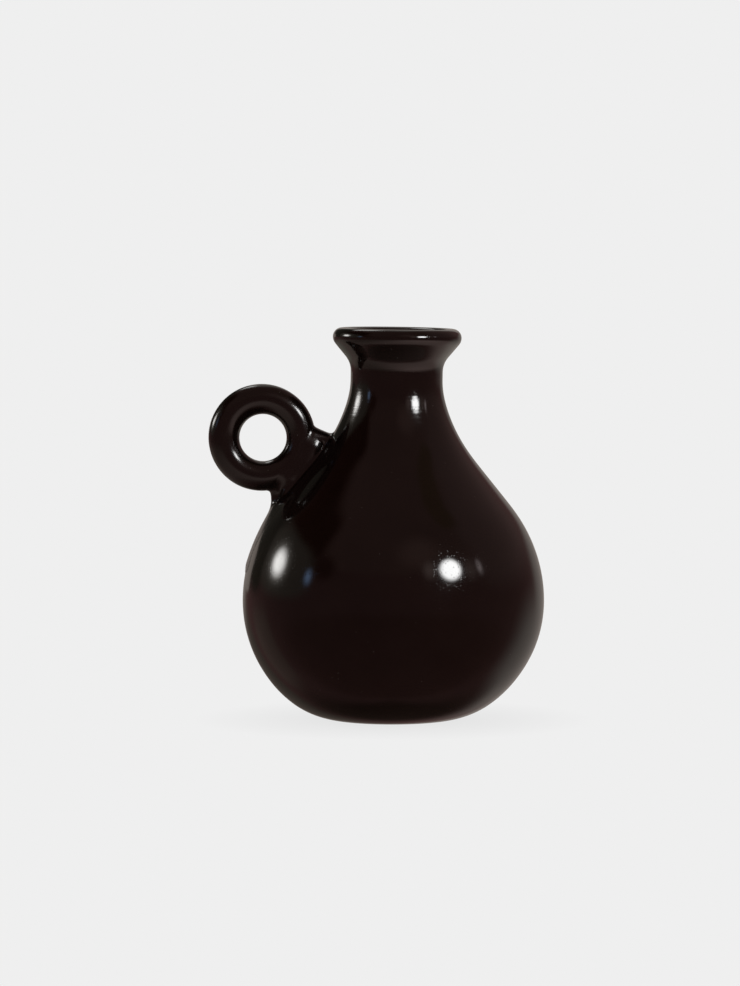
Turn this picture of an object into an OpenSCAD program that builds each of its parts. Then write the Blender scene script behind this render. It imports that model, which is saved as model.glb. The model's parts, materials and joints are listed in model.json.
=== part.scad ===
// Hand-built round jug of black clay with a finger ring, taken apart into the
// pieces it was luted together from. Millimetres, +Z up. The origin is the
// middle of the foot, on the surface the pot stands on. The ring is on -X.

/* [Pot] */
// Height from the foot to the top of the lip
height = 159.5; // [155:0.5:166]
// Thickness of the clay wall and of the floor
wall_t = 4.8; // [3.8:0.1:5.4]

/* [Foot and belly] */
// Radius of the flat that the pot stands on
foot_r = 19.5; // [19:0.1:21]
// Radius of the pot at its widest
belly_r = 61.5; // [61:0.1:62]
// Height of the widest place
belly_z = 48.5; // [48:0.1:49.5]
// Radius of the curve from the widest place down to the heel
under_r = 51.8; // [51.2:0.1:51.8]

/* [Shoulder and neck] */
// Lean of the straight part of the shoulder from the vertical, in degrees
shoulder_lean = 39.5; // [37:0.5:41]
// Height where the shoulder starts to turn up into the neck
shoulder_top_z = 106; // [104:0.5:108]
// Length of the curve's pull at the shoulder end
shoulder_pull = 10; // [8:0.5:12]
// Length of the curve's pull at the neck end
neck_pull = 12; // [10:0.5:14]
// Height where the neck becomes straight
neck_z = 138.5; // [136:0.5:140]
// Radius of the straight neck
neck_r = 18.7; // [18.4:0.1:20]
// Radius of the bore inside the neck, which a cork fits
throat_r = 14.5; // [14.2:0.1:14.8]
// Height where the straight bore starts
throat_bottom_z = 133; // [132.5:0.5:135]
// Height where the straight bore ends and the mouth opens out
throat_top_z = 146; // [144:0.5:147]

/* [Rim] */
// Lean of the flare under the rim from the vertical, in degrees
flare_lean = 40; // [36:1:44]
// Radius of the bend from the neck into the flare
flare_r = 9; // [7:0.5:10]
// Radius of the rim at its widest
lip_r = 26.2; // [25.5:0.1:27]
// Roundness of the rim below its widest place
lip_under_r = 4.3; // [3.8:0.1:4.6]
// Roundness of the rim above its widest place
lip_top_r = 3.7; // [3.2:0.1:4]

/* [Finger ring] */
// Distance of the ring's middle from the pot's axis
ring_x = 54; // [54:0.1:56]
// Height of the ring's middle
ring_z = 115.4; // [115.4:0.1:117]
// Radius of the ring at the middle of its coil
ring_r = 15.9; // [15:0.1:16]
// Radius of the coil of clay
coil_r = 6.25; // [6:0.05:6.3]
// Width of the saddle of clay under the ring, across the pot
saddle_w = 10; // [8:0.5:11]

/* [Seams] */
// Angle of the seam round the foot, below the widest place
foot_seam_angle = 48; // [44:2:48]
// Height of the seam between shoulder and neck
neck_seam_z = 123; // [121:0.5:126]
// Radius of the bead of slip in each seam
slip_r = 1.2; // [0.8:0.1:1.3]

/* [Hidden] */
$fn = 96;

// Angle between two points of a curve
arc_step = 4;
// Points along a free curve
curve_steps = 14;
// How far the inner edge of a seam is above its outer edge, in points
bevel = 1;
clay = [0.10, 0.06, 0.05];
slip_clay = [0.22, 0.15, 0.12];

// Centres of the curves of the outline, as [radius, height]
belly_c = [0, belly_z];
under_c = [belly_r - under_r, belly_z];
heel_r = (pow(under_r, 2) - pow(belly_z, 2) - pow(foot_r - under_c.x, 2)) / (2 * (under_r - belly_z));
heel_c = [foot_r, heel_r];
heel_angle = atan2(heel_c.y - under_c.y, heel_c.x - under_c.x);

// Rim, from the top down: the widest place, the flare and its bend
lip_z = height - lip_top_r;
lip_c = [lip_r - lip_under_r, lip_z];
crest_c = [lip_r - lip_top_r, lip_z];
flare_start_r = neck_r + flare_r * (1 - cos(flare_lean));
flare_end = lip_c + lip_under_r * [cos(flare_lean), -sin(flare_lean)];
flare_rise = (flare_end.x - flare_start_r) / tan(flare_lean);
neck_top_z = flare_end.y - flare_rise - flare_r * sin(flare_lean);
flare_c = [neck_r + flare_r, neck_top_z];
// Where the roundness of the lip ends inside the mouth, in degrees round the lip
lip_inner_angle = 150;
lip_inner_pull = 5;

// A station of the outline is [radius, height, tilt of the outward normal].
function arc(c, r, from, to, turn = 0) =
    let (n = max(1, ceil(abs(to - from) / arc_step)))
    [for (i = [0:n]) let (a = from + (to - from) * i / n)
        [c.x + r * cos(a), c.y + r * sin(a), a + turn]];

// A cubic curve through four control points, and its direction
function curve_at(p, t) =
    pow(1 - t, 3) * p[0] + 3 * t * pow(1 - t, 2) * p[1] + 3 * t * t * (1 - t) * p[2] + pow(t, 3) * p[3];
function curve_way(p, t) =
    pow(1 - t, 2) * (p[1] - p[0]) + 2 * t * (1 - t) * (p[2] - p[1]) + t * t * (p[3] - p[2]);
function curve(p, steps) =
    [for (i = [0:steps]) let (t = i / steps, q = curve_at(p, t), d = curve_way(p, t))
        [q.x, q.y, atan2(-d.x, d.y)]];

// A point of the outline, moved inwards by t
function inset(s, t) = [s.x - t * cos(s.z), s.y - t * sin(s.z)];
function tail(list) = [for (i = [1:len(list) - 1]) list[i]];
function reversed(list) = [for (i = [len(list) - 1:-1:0]) list[i]];
function first(list) = list[0];
function last(list) = list[len(list) - 1];

// The outline in its natural stretches, from the middle of the foot to the rim
shoulder_end = belly_r * [cos(shoulder_lean), sin(shoulder_lean)] + belly_c;
shoulder_top = [shoulder_end.x - (shoulder_top_z - shoulder_end.y) * tan(shoulder_lean), shoulder_top_z];
neck_points = [
    shoulder_top,
    shoulder_top + shoulder_pull * [-sin(shoulder_lean), cos(shoulder_lean)],
    [neck_r, neck_z - neck_pull],
    [neck_r, neck_z],
];
heel_line = concat([[0, 0, -90]], arc(heel_c, heel_r, -90, heel_angle));
under_line = arc(under_c, under_r, -foot_seam_angle, 0);
shoulder_line = arc(belly_c, belly_r, 0, shoulder_lean);
neck_line = curve(neck_points, curve_steps);
flare_line = concat(arc(flare_c, flare_r, 180, 180 - flare_lean, -180), [[flare_end.x, flare_end.y, -flare_lean]]);

// The same stretches cut into the clay pieces
foot_line = concat(heel_line, tail(arc(under_c, under_r, heel_angle, -foot_seam_angle)));
lower_neck_line = [for (s = neck_line) if (s.y < neck_seam_z) s];
upper_neck_line = [for (s = neck_line) if (s.y >= neck_seam_z) s];
seam_station = first(upper_neck_line);
shoulder_outer = concat(shoulder_line, lower_neck_line, [seam_station]);
neck_outer = concat(upper_neck_line, flare_line);

function inner_line(stations) = [for (s = stations) inset(s, wall_t)];
foot_inner = inner_line(concat(foot_line, [under_line[bevel]]));
belly_inner = inner_line(concat([for (i = [bevel:len(under_line) - 1]) under_line[i]], [shoulder_line[bevel]]));
shoulder_inner = inner_line(concat(
    [for (i = [bevel:len(shoulder_line) - 1]) shoulder_line[i]],
    lower_neck_line, [seam_station, upper_neck_line[bevel]]));
mouth_start = crest_c + lip_top_r * [cos(lip_inner_angle), sin(lip_inner_angle)];
mouth_points = [
    [throat_r, throat_top_z],
    [throat_r, throat_top_z + lip_inner_pull],
    mouth_start + lip_inner_pull * [sin(lip_inner_angle), cos(lip_inner_angle)] * [[-1, 0], [0, 1]],
    mouth_start,
];
neck_inner = concat(
    [for (i = [bevel:len(upper_neck_line) - 1]) let (p = inset(upper_neck_line[i], wall_t))
        if (p.x > throat_r && p.y < throat_bottom_z - 1) p],
    [[throat_r, throat_bottom_z]],
    [for (i = [0:curve_steps]) curve_at(mouth_points, i / curve_steps)]);

// The middle of each seam, where its bead of slip lies
function seam_middle(outer, inner) = ([outer.x, outer.y] + inner) / 2;
foot_seam = seam_middle(last(foot_line), last(foot_inner));
girth_seam = seam_middle(last(under_line), last(belly_inner));
neck_seam = seam_middle(seam_station, last(shoulder_inner));
rim_seam = seam_middle(flare_end, mouth_start);

// Finger ring and saddle, in the plane y = 0
ring_c = [-ring_x, ring_z];
shoulder_way = [sin(shoulder_lean), cos(shoulder_lean)];
shoulder_out = [-cos(shoulder_lean), sin(shoulder_lean)];
to_ring = ring_c - [-shoulder_end.x, shoulder_end.y];
contact = [-shoulder_end.x, shoulder_end.y] + (to_ring * shoulder_way) * shoulder_way;
// Angles round the ring where the saddle's upper and lower lugs leave it
upper_lug_angle = 12;
lower_lug_angle = -83;
// Heights where the lugs meet the pot
upper_lug_z = 117.5;
lower_lug_z = 86.5;
// How far along the shoulder the beads of slip under the lugs are
lug_slip_gap = 13;
lug_slip_r = 2;
ring_slip_r = 3.5;
slip_depth = 1.2;
// How far the saddle's blank runs into the ring and the wall before it is cut to them
blank_depth = 3;

function pot_radius(z) = lookup(z, [for (s = concat(shoulder_line, neck_line)) [s.y, s.x]]);
function on_ring(a, r) = ring_c + r * [cos(a), sin(a)];
saddle_outline = concat(
    [for (i = [0:8]) on_ring(upper_lug_angle + (lower_lug_angle - upper_lug_angle) * i / 8, ring_r)],
    [on_ring(lower_lug_angle, ring_r + coil_r),
     [-pot_radius(lower_lug_z) - 0.6, lower_lug_z + 2],
     [-pot_radius(lower_lug_z), lower_lug_z],
     [-pot_radius(lower_lug_z) + blank_depth, lower_lug_z],
     [-pot_radius(upper_lug_z) + blank_depth, upper_lug_z],
     [-pot_radius(upper_lug_z), upper_lug_z],
     [-pot_radius(upper_lug_z) - 2.5, upper_lug_z + 0.3],
     on_ring(upper_lug_angle, ring_r + coil_r)]);

// A wall piece turned from its outer and inner lines
module turned(outer, inner) {
    rotate_extrude() polygon(concat([for (s = outer) [s.x, s.y]], reversed(inner)));
}

// A bead of slip that lies in the groove of a seam
module slip_bead(middle) {
    rotate_extrude() translate(middle) circle(r = slip_r);
}

// A pad of slip that lies on the shoulder, gap away from the contact along its slope
module slip_pad(gap, r, out, depth) {
    place = contact + gap * shoulder_way;
    translate([place.x, 0, place.y])
        rotate([0, shoulder_lean - 90, 0])
            translate([0, 0, -depth]) cylinder(r = r, h = depth + out);
}

module foot_disc() {
    color(clay) difference() {
        turned(foot_line, foot_inner);
        slip_bead(foot_seam);
    }
}

module belly_wall() {
    color(clay) difference() {
        turned(under_line, belly_inner);
        slip_bead(foot_seam);
        slip_bead(girth_seam);
    }
}

module shoulder_wall() {
    color(clay) difference() {
        turned(shoulder_outer, shoulder_inner);
        slip_bead(girth_seam);
        slip_bead(neck_seam);
        ring_slip();
        saddle_slip();
    }
}

module neck_collar() {
    color(clay) difference() {
        turned(neck_outer, neck_inner);
        slip_bead(neck_seam);
        slip_bead(rim_seam);
    }
}

// The round coil laid on the flare's edge to finish the mouth
module rim_coil() {
    under = arc(lip_c, lip_under_r, -flare_lean, 0);
    over = arc(crest_c, lip_top_r, 0, lip_inner_angle);
    color(clay) difference() {
        rotate_extrude() polygon([for (s = concat(under, tail(over))) [s.x, s.y]]);
        slip_bead(rim_seam);
    }
}

module ring_blank() {
    translate([ring_c.x, 0, ring_c.y])
        rotate([90, 0, 0])
            rotate_extrude() translate([ring_r, 0]) circle(r = coil_r);
}

module handle_ring() {
    color(clay) difference() {
        ring_blank();
        ring_slip();
    }
}

// The wad of clay pressed in between the ring and the shoulder
module handle_saddle() {
    color(clay) difference() {
        rotate([90, 0, 0])
            linear_extrude(height = saddle_w, center = true) polygon(saddle_outline);
        rotate_extrude() polygon(concat(
            [for (s = shoulder_outer) [s.x, s.y]],
            [[0, last(shoulder_outer).y], [0, belly_z]]));
        ring_blank();
        ring_slip();
        saddle_slip();
    }
}

module foot_slip() {
    color(slip_clay) slip_bead(foot_seam);
}

module girth_slip() {
    color(slip_clay) slip_bead(girth_seam);
}

module neck_slip() {
    color(slip_clay) slip_bead(neck_seam);
}

module rim_slip() {
    color(slip_clay) slip_bead(rim_seam);
}

// The pad of slip where the ring is pressed on the shoulder
module ring_slip() {
    color(slip_clay) slip_pad(0, ring_slip_r, 2 * slip_depth, slip_depth);
}

// The two pads of slip under the saddle's lugs
module saddle_slip() {
    color(slip_clay)
        for (side = [-1, 1]) slip_pad(side * lug_slip_gap, lug_slip_r, slip_depth, slip_depth);
}

foot_disc();
belly_wall();
shoulder_wall();
neck_collar();
rim_coil();
handle_ring();
handle_saddle();
foot_slip();
girth_slip();
neck_slip();
rim_slip();
ring_slip();
saddle_slip();
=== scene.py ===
"""Looks of a hand-built black clay jug with a finger ring: its clay pieces, its burnish and the studio."""
import bmesh
import bpy
import json
import math
import numpy as np
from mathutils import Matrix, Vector
from mathutils.bvhtree import BVHTree


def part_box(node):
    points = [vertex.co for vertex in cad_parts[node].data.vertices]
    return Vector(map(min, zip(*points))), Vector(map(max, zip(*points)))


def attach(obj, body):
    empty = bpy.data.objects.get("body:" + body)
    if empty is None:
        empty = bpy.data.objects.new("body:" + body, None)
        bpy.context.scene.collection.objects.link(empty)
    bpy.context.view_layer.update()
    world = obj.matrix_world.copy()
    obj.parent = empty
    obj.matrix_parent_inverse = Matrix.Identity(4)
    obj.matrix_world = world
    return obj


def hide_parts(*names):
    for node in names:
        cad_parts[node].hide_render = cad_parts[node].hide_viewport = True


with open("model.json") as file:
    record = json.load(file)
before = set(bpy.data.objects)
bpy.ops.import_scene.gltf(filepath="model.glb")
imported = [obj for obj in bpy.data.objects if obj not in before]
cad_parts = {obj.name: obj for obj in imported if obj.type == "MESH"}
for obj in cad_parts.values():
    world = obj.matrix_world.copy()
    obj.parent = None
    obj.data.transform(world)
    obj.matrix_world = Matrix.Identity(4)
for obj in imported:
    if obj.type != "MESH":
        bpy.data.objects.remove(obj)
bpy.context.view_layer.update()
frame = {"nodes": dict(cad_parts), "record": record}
scene = bpy.context.scene
MM = 0.001

# ---------------------------------------------------------------- sizes, from the frame, in millimetres


def span(node, axis):
    """Lowest and highest place of a CAD node along an axis."""
    low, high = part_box(node)
    return low[axis] / MM, high[axis] / MM


HEIGHT = span("rim_coil", 2)[1]
LIP_R = span("rim_coil", 0)[1]
BELLY_R = span("shoulder_wall", 0)[1]
FOOT_SEAM_Z = span("belly_wall", 2)[0]
BELLY_Z = span("shoulder_wall", 2)[0]
NECK_SEAM_Z = span("neck_collar", 2)[0]
RIM_SEAM_Z = span("rim_coil", 2)[0]
INNER_SEAM_Z = {
    "foot": span("foot_disc", 2)[1],
    "girth": span("belly_wall", 2)[1],
    "neck": span("shoulder_wall", 2)[1],
    "rim": span("neck_collar", 2)[1],
}
RING_X = sum(span("handle_ring", 0)) / 2
RING_Z = sum(span("handle_ring", 2)) / 2
RING_OUTER_R = (span("handle_ring", 2)[1] - span("handle_ring", 2)[0]) / 2
COIL_R = span("handle_ring", 1)[1]
RING_R = RING_OUTER_R - COIL_R
THROAT = next(m for m in frame["record"]["mounts"] if m["name"] == "throat")
THROAT_R = THROAT["dims"]["r_mm"]
THROAT_LOW = THROAT["pos_m"][2] / MM - THROAT["dims"]["length_mm"] / 2
THROAT_HIGH = THROAT["pos_m"][2] / MM + THROAT["dims"]["length_mm"] / 2
SLIP_R = (span("neck_slip", 2)[1] - span("neck_slip", 2)[0]) / 2

# Shape of the outline between those sizes
WALL_T = 4.8
FOOT_R = 19.5
UNDER_R = 51.8
SHOULDER_LEAN = 39.5
SHOULDER_TOP_Z = 106.0
SHOULDER_PULL = 10.0
NECK_PULL = 12.0
NECK_Z = 138.5
NECK_R = 18.7
FLARE_LEAN = 40.0
FLARE_R = 9.0
LIP_UNDER_R = 4.3
LIP_TOP_R = 3.7
LIP_INNER_ANGLE = 150.0
LIP_INNER_PULL = 5.0

# What the hand adds: the pot leans a little towards the side away from its ring
LEAN = 0.0145
LEVEL_FOOT_H = 60.0
UNEVENNESS = 0.05
UNEVEN_SIZE = 38.0

# The body's bends are eased by this much, and the foot's and the lip's by less. The easing comes in and goes
# out between these heights
BODY_EASING = 4.0
CRISP_EASING = 0.6
EASED_FROM = (8, 22)
EASED_TO = (122, 136)

# Steps of the meshes
TURNS = 288
OUTER_STEP = 0.8
INNER_STEP = 2.0
FINE = 0.25
GROOVE_POINTS = 13
SAME_POINT = 1e-6

# Distances within which points are merged, in metres
WALL_WELD = 1e-6
SLIP_WELD = 1e-7


# ---------------------------------------------------------------- outline of the wall


def arc(centre, radius, start, stop, step=1.0):
    """Points of an arc, from one angle to another in degrees."""
    count = max(2, int(abs(stop - start) / step) + 1)
    angles = np.radians(np.linspace(start, stop, count))
    return np.c_[centre[0] + radius * np.cos(angles), centre[1] + radius * np.sin(angles)]


def pulled_curve(a, b, c, d, count=60):
    """Points of a cubic curve from a to d that is pulled towards b and c."""
    t = np.linspace(0, 1, count)[:, None]
    a, b, c, d = (np.array(p, float) for p in (a, b, c, d))
    return (1 - t) ** 3 * a + 3 * t * (1 - t) ** 2 * b + 3 * t * t * (1 - t) * c + t ** 3 * d


def evenly(points, step):
    """The same line with its points at even distances, ends kept."""
    gaps = np.linalg.norm(np.diff(points, axis=0), axis=1)
    keep = np.r_[True, gaps > SAME_POINT]
    points = points[keep]
    along = np.r_[0, np.cumsum(np.linalg.norm(np.diff(points, axis=0), axis=1))]
    places = np.linspace(0, along[-1], max(2, int(round(along[-1] / step)) + 1))
    return np.c_[np.interp(places, along, points[:, 0]), np.interp(places, along, points[:, 1])]


def softened(points, reach):
    """An evenly spaced line whose bends are eased over about that reach, both ends kept in place."""
    half = int(4 * reach / FINE)
    weights = np.exp(-0.5 * (np.arange(-half, half + 1) * FINE / reach) ** 2)
    weights /= weights.sum()
    before = 2 * points[0] - points[half:0:-1]
    after = 2 * points[-1] - points[-2:-half - 2:-1]
    padded = np.r_[before, points, after]
    return np.c_[
        np.convolve(padded[:, 0], weights, "valid"),
        np.convolve(padded[:, 1], weights, "valid")]


def eased(value, low, high):
    """0 below low, 1 above high and a smooth rise between them."""
    t = np.clip((value - low) / (high - low), 0, 1)
    return t * t * (3 - 2 * t)


def outer_outline():
    """The outside of the pot, from the middle of the foot to the lip's widest place."""
    under_x = BELLY_R - UNDER_R
    heel_r = (UNDER_R ** 2 - BELLY_Z ** 2 - (FOOT_R - under_x) ** 2) / (2 * (UNDER_R - BELLY_Z))
    heel_angle = math.degrees(math.atan2(heel_r - BELLY_Z, FOOT_R - under_x))
    lean = math.radians(SHOULDER_LEAN)
    shoulder_end = BELLY_R * np.array([math.cos(lean), math.sin(lean)]) + [0, BELLY_Z]
    top_r = shoulder_end[0] - (SHOULDER_TOP_Z - shoulder_end[1]) * math.tan(lean)
    shoulder_top = np.array([top_r, SHOULDER_TOP_Z])
    flare = math.radians(FLARE_LEAN)
    lip_z = HEIGHT - LIP_TOP_R
    flare_end = np.array([
        LIP_R - LIP_UNDER_R + LIP_UNDER_R * math.cos(flare),
        lip_z - LIP_UNDER_R * math.sin(flare)])
    flare_start_r = NECK_R + FLARE_R * (1 - math.cos(flare))
    neck_top_z = flare_end[1] - (flare_end[0] - flare_start_r) / math.tan(flare) - FLARE_R * math.sin(flare)
    return np.concatenate([
        [(0, 0)],
        arc((FOOT_R, heel_r), heel_r, -90, heel_angle),
        arc((under_x, BELLY_Z), UNDER_R, heel_angle, 0),
        arc((0, BELLY_Z), BELLY_R, 0, SHOULDER_LEAN),
        pulled_curve(
            shoulder_top,
            shoulder_top + SHOULDER_PULL * np.array([-math.sin(lean), math.cos(lean)]),
            (NECK_R, NECK_Z - NECK_PULL),
            (NECK_R, NECK_Z)),
        arc((NECK_R + FLARE_R, neck_top_z), FLARE_R, 180, 180 - FLARE_LEAN),
        arc((LIP_R - LIP_UNDER_R, lip_z), LIP_UNDER_R, -FLARE_LEAN, 0),
    ])


def lip_and_mouth():
    """Over the lip and down the mouth to the throat."""
    crest = np.array([LIP_R - LIP_TOP_R, HEIGHT - LIP_TOP_R])
    turn = math.radians(LIP_INNER_ANGLE)
    mouth_top = crest + LIP_TOP_R * np.array([math.cos(turn), math.sin(turn)])
    down = np.array([-math.sin(turn), math.cos(turn)])
    return np.concatenate([
        arc(crest, LIP_TOP_R, 0, LIP_INNER_ANGLE),
        pulled_curve(
            mouth_top,
            mouth_top + LIP_INNER_PULL * down,
            (THROAT_R, THROAT_HIGH + LIP_INNER_PULL),
            (THROAT_R, THROAT_HIGH)),
    ])


def inset(points, depth):
    """The line moved to its left-hand side, which is the inside of the pot."""
    way = np.gradient(points, axis=0)
    way /= np.linalg.norm(way, axis=1)[:, None]
    return points + depth * np.c_[-way[:, 1], way[:, 0]]


def whole_section():
    """The wall's whole cut face as one line, from the foot's middle over the lip to the floor's middle."""
    line = evenly(np.concatenate([outer_outline(), lip_and_mouth()]), FINE)
    height = line[:, 1]
    rising = np.arange(len(line)) < np.argmax(height)
    loose = (rising * eased(height, *EASED_FROM) * (1 - eased(height, *EASED_TO)))[:, None]
    line = softened(line, BODY_EASING) * loose + softened(line, CRISP_EASING) * (1 - loose)
    outer = line[:np.argmax(line[:, 1])]
    inner = inset(outer, WALL_T)
    below_throat = (inner[:, 1] < THROAT_LOW - 1) & (inner[:, 0] > THROAT_R)
    cavity = inner[below_throat & (inner[:, 1] < NECK_Z)][::-1]
    floor_end = [(0, WALL_T)]
    return evenly(np.concatenate([line, [(THROAT_R, THROAT_LOW)], cavity, floor_end]), FINE)


SECTION = whole_section()
TOP = int(np.argmax(SECTION[:, 1]))


def outside_at(z):
    """Place along the section where the outside passes a height."""
    rising = SECTION[:TOP, 1]
    return int(np.argmax(rising >= z))


def inside_at(z):
    """Place along the section where the inside passes a height."""
    falling = SECTION[TOP:, 1]
    return TOP + int(np.argmax(falling <= z))


def stretch_of(start, stop, step):
    """The section between two places, as evenly spaced points."""
    return evenly(SECTION[start:stop + 1], step)


def seam_edge(outer, inner, groove_side):
    """The bevelled edge of a seam, from its outer to its inner end, with a half-round groove for the slip.
    groove_side is 1 where the piece lies above the seam and -1 where it lies below."""
    way = (inner - outer) / np.linalg.norm(inner - outer)
    across = np.array([-way[1], way[0]])
    if across[1] < 0:
        across = -across
    middle = (outer + inner) / 2
    angles = np.radians(np.linspace(180, 0, GROOVE_POINTS))
    groove = [middle + SLIP_R * (math.cos(a) * way + groove_side * math.sin(a) * across) for a in angles]
    return np.array([outer, *groove, inner])


SEAMS = {
    "foot": (outside_at(FOOT_SEAM_Z), inside_at(INNER_SEAM_Z["foot"])),
    "girth": (outside_at(BELLY_Z), inside_at(INNER_SEAM_Z["girth"])),
    "neck": (outside_at(NECK_SEAM_Z), inside_at(INNER_SEAM_Z["neck"])),
    "rim": (outside_at(RIM_SEAM_Z), inside_at(INNER_SEAM_Z["rim"])),
}


def seam_line(name, groove_side):
    """The edge that a wall piece has along a named seam."""
    start, stop = SEAMS[name]
    return seam_edge(SECTION[start], SECTION[stop], groove_side)


def wall_profile(low, high):
    """Points of one wall piece's cut face in order, and whether each point's next stretch is a seam.
    low or high is None where the piece ends at the pot's axis or at the lip."""
    low_out, low_in = SEAMS[low] if low else (0, len(SECTION) - 1)
    if high:
        high_out, high_in = SEAMS[high]
        parts = [
            (stretch_of(low_out, high_out, OUTER_STEP), 0),
            (seam_line(high, -1), 1),
            (stretch_of(high_in, low_in, INNER_STEP), 0),
        ]
    else:
        parts = [(stretch_of(low_out, low_in, OUTER_STEP / 2), 0)]
    if low:
        parts.append((seam_line(low, 1)[::-1], 1))
    points = []
    seam = []
    for part, code in parts:
        points.extend(part[:-1])
        seam.extend([code] * (len(part) - 1))
    if not low:
        points.append(parts[-1][0][-1])
        seam.append(0)
    return np.array(points), seam


# ---------------------------------------------------------------- node tree helpers


class Tree:
    """A node tree that is built in order, with named inputs and outputs."""

    def __init__(self, name, kind, takes, gives):
        self.tree = bpy.data.node_groups.new(name, kind)
        for label, socket_type, value in takes:
            socket = self.tree.interface.new_socket(name=label, in_out="INPUT", socket_type=socket_type)
            if value is not None:
                socket.default_value = value
        for label, socket_type in gives:
            self.tree.interface.new_socket(name=label, in_out="OUTPUT", socket_type=socket_type)
        self.start = self.tree.nodes.new("NodeGroupInput")
        self.end = self.tree.nodes.new("NodeGroupOutput")

    def __getitem__(self, label):
        """The tree's input with that name."""
        return self.start.outputs[label]

    def node(self, kind, inputs=None, **settings):
        """A new node with its settings, its inputs fed by name or place."""
        made = self.tree.nodes.new(kind)
        for key, value in settings.items():
            setattr(made, key, value)
        for key, value in (inputs or {}).items():
            feed(self.tree, value, made.inputs[key])
        return made

    def math(self, operation, a, b=None, c=None):
        """The result of a Math node."""
        inputs = {i: v for i, v in enumerate((a, b, c)) if v is not None}
        return self.node("ShaderNodeMath", inputs, operation=operation).outputs[0]

    def give(self, label, socket):
        """Links a socket to one of the tree's outputs."""
        self.tree.links.new(socket, self.end.inputs[label])


def feed(tree, value, socket):
    """Links a socket or sets a value."""
    if isinstance(value, bpy.types.NodeSocket):
        tree.links.new(value, socket)
    else:
        socket.default_value = value


# A Mix node has one set of sockets for each kind of data, all with the same names: these are their places
NUMBER_SOCKETS = {"a": 2, "b": 3, "result": 0}
COLOUR_SOCKETS = {"a": 6, "b": 7, "result": 2}


def mixed(tree, factor, a, b, data_type="RGBA"):
    """Mixes two colours, or two numbers with data_type FLOAT, and returns the result's socket."""
    mix = tree.nodes.new("ShaderNodeMix")
    mix.data_type = data_type
    sockets = COLOUR_SOCKETS if data_type == "RGBA" else NUMBER_SOCKETS
    feed(tree, factor, mix.inputs["Factor"])
    feed(tree, a, mix.inputs[sockets["a"]])
    feed(tree, b, mix.inputs[sockets["b"]])
    return mix.outputs[sockets["result"]]


# ---------------------------------------------------------------- geometry trees


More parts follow.
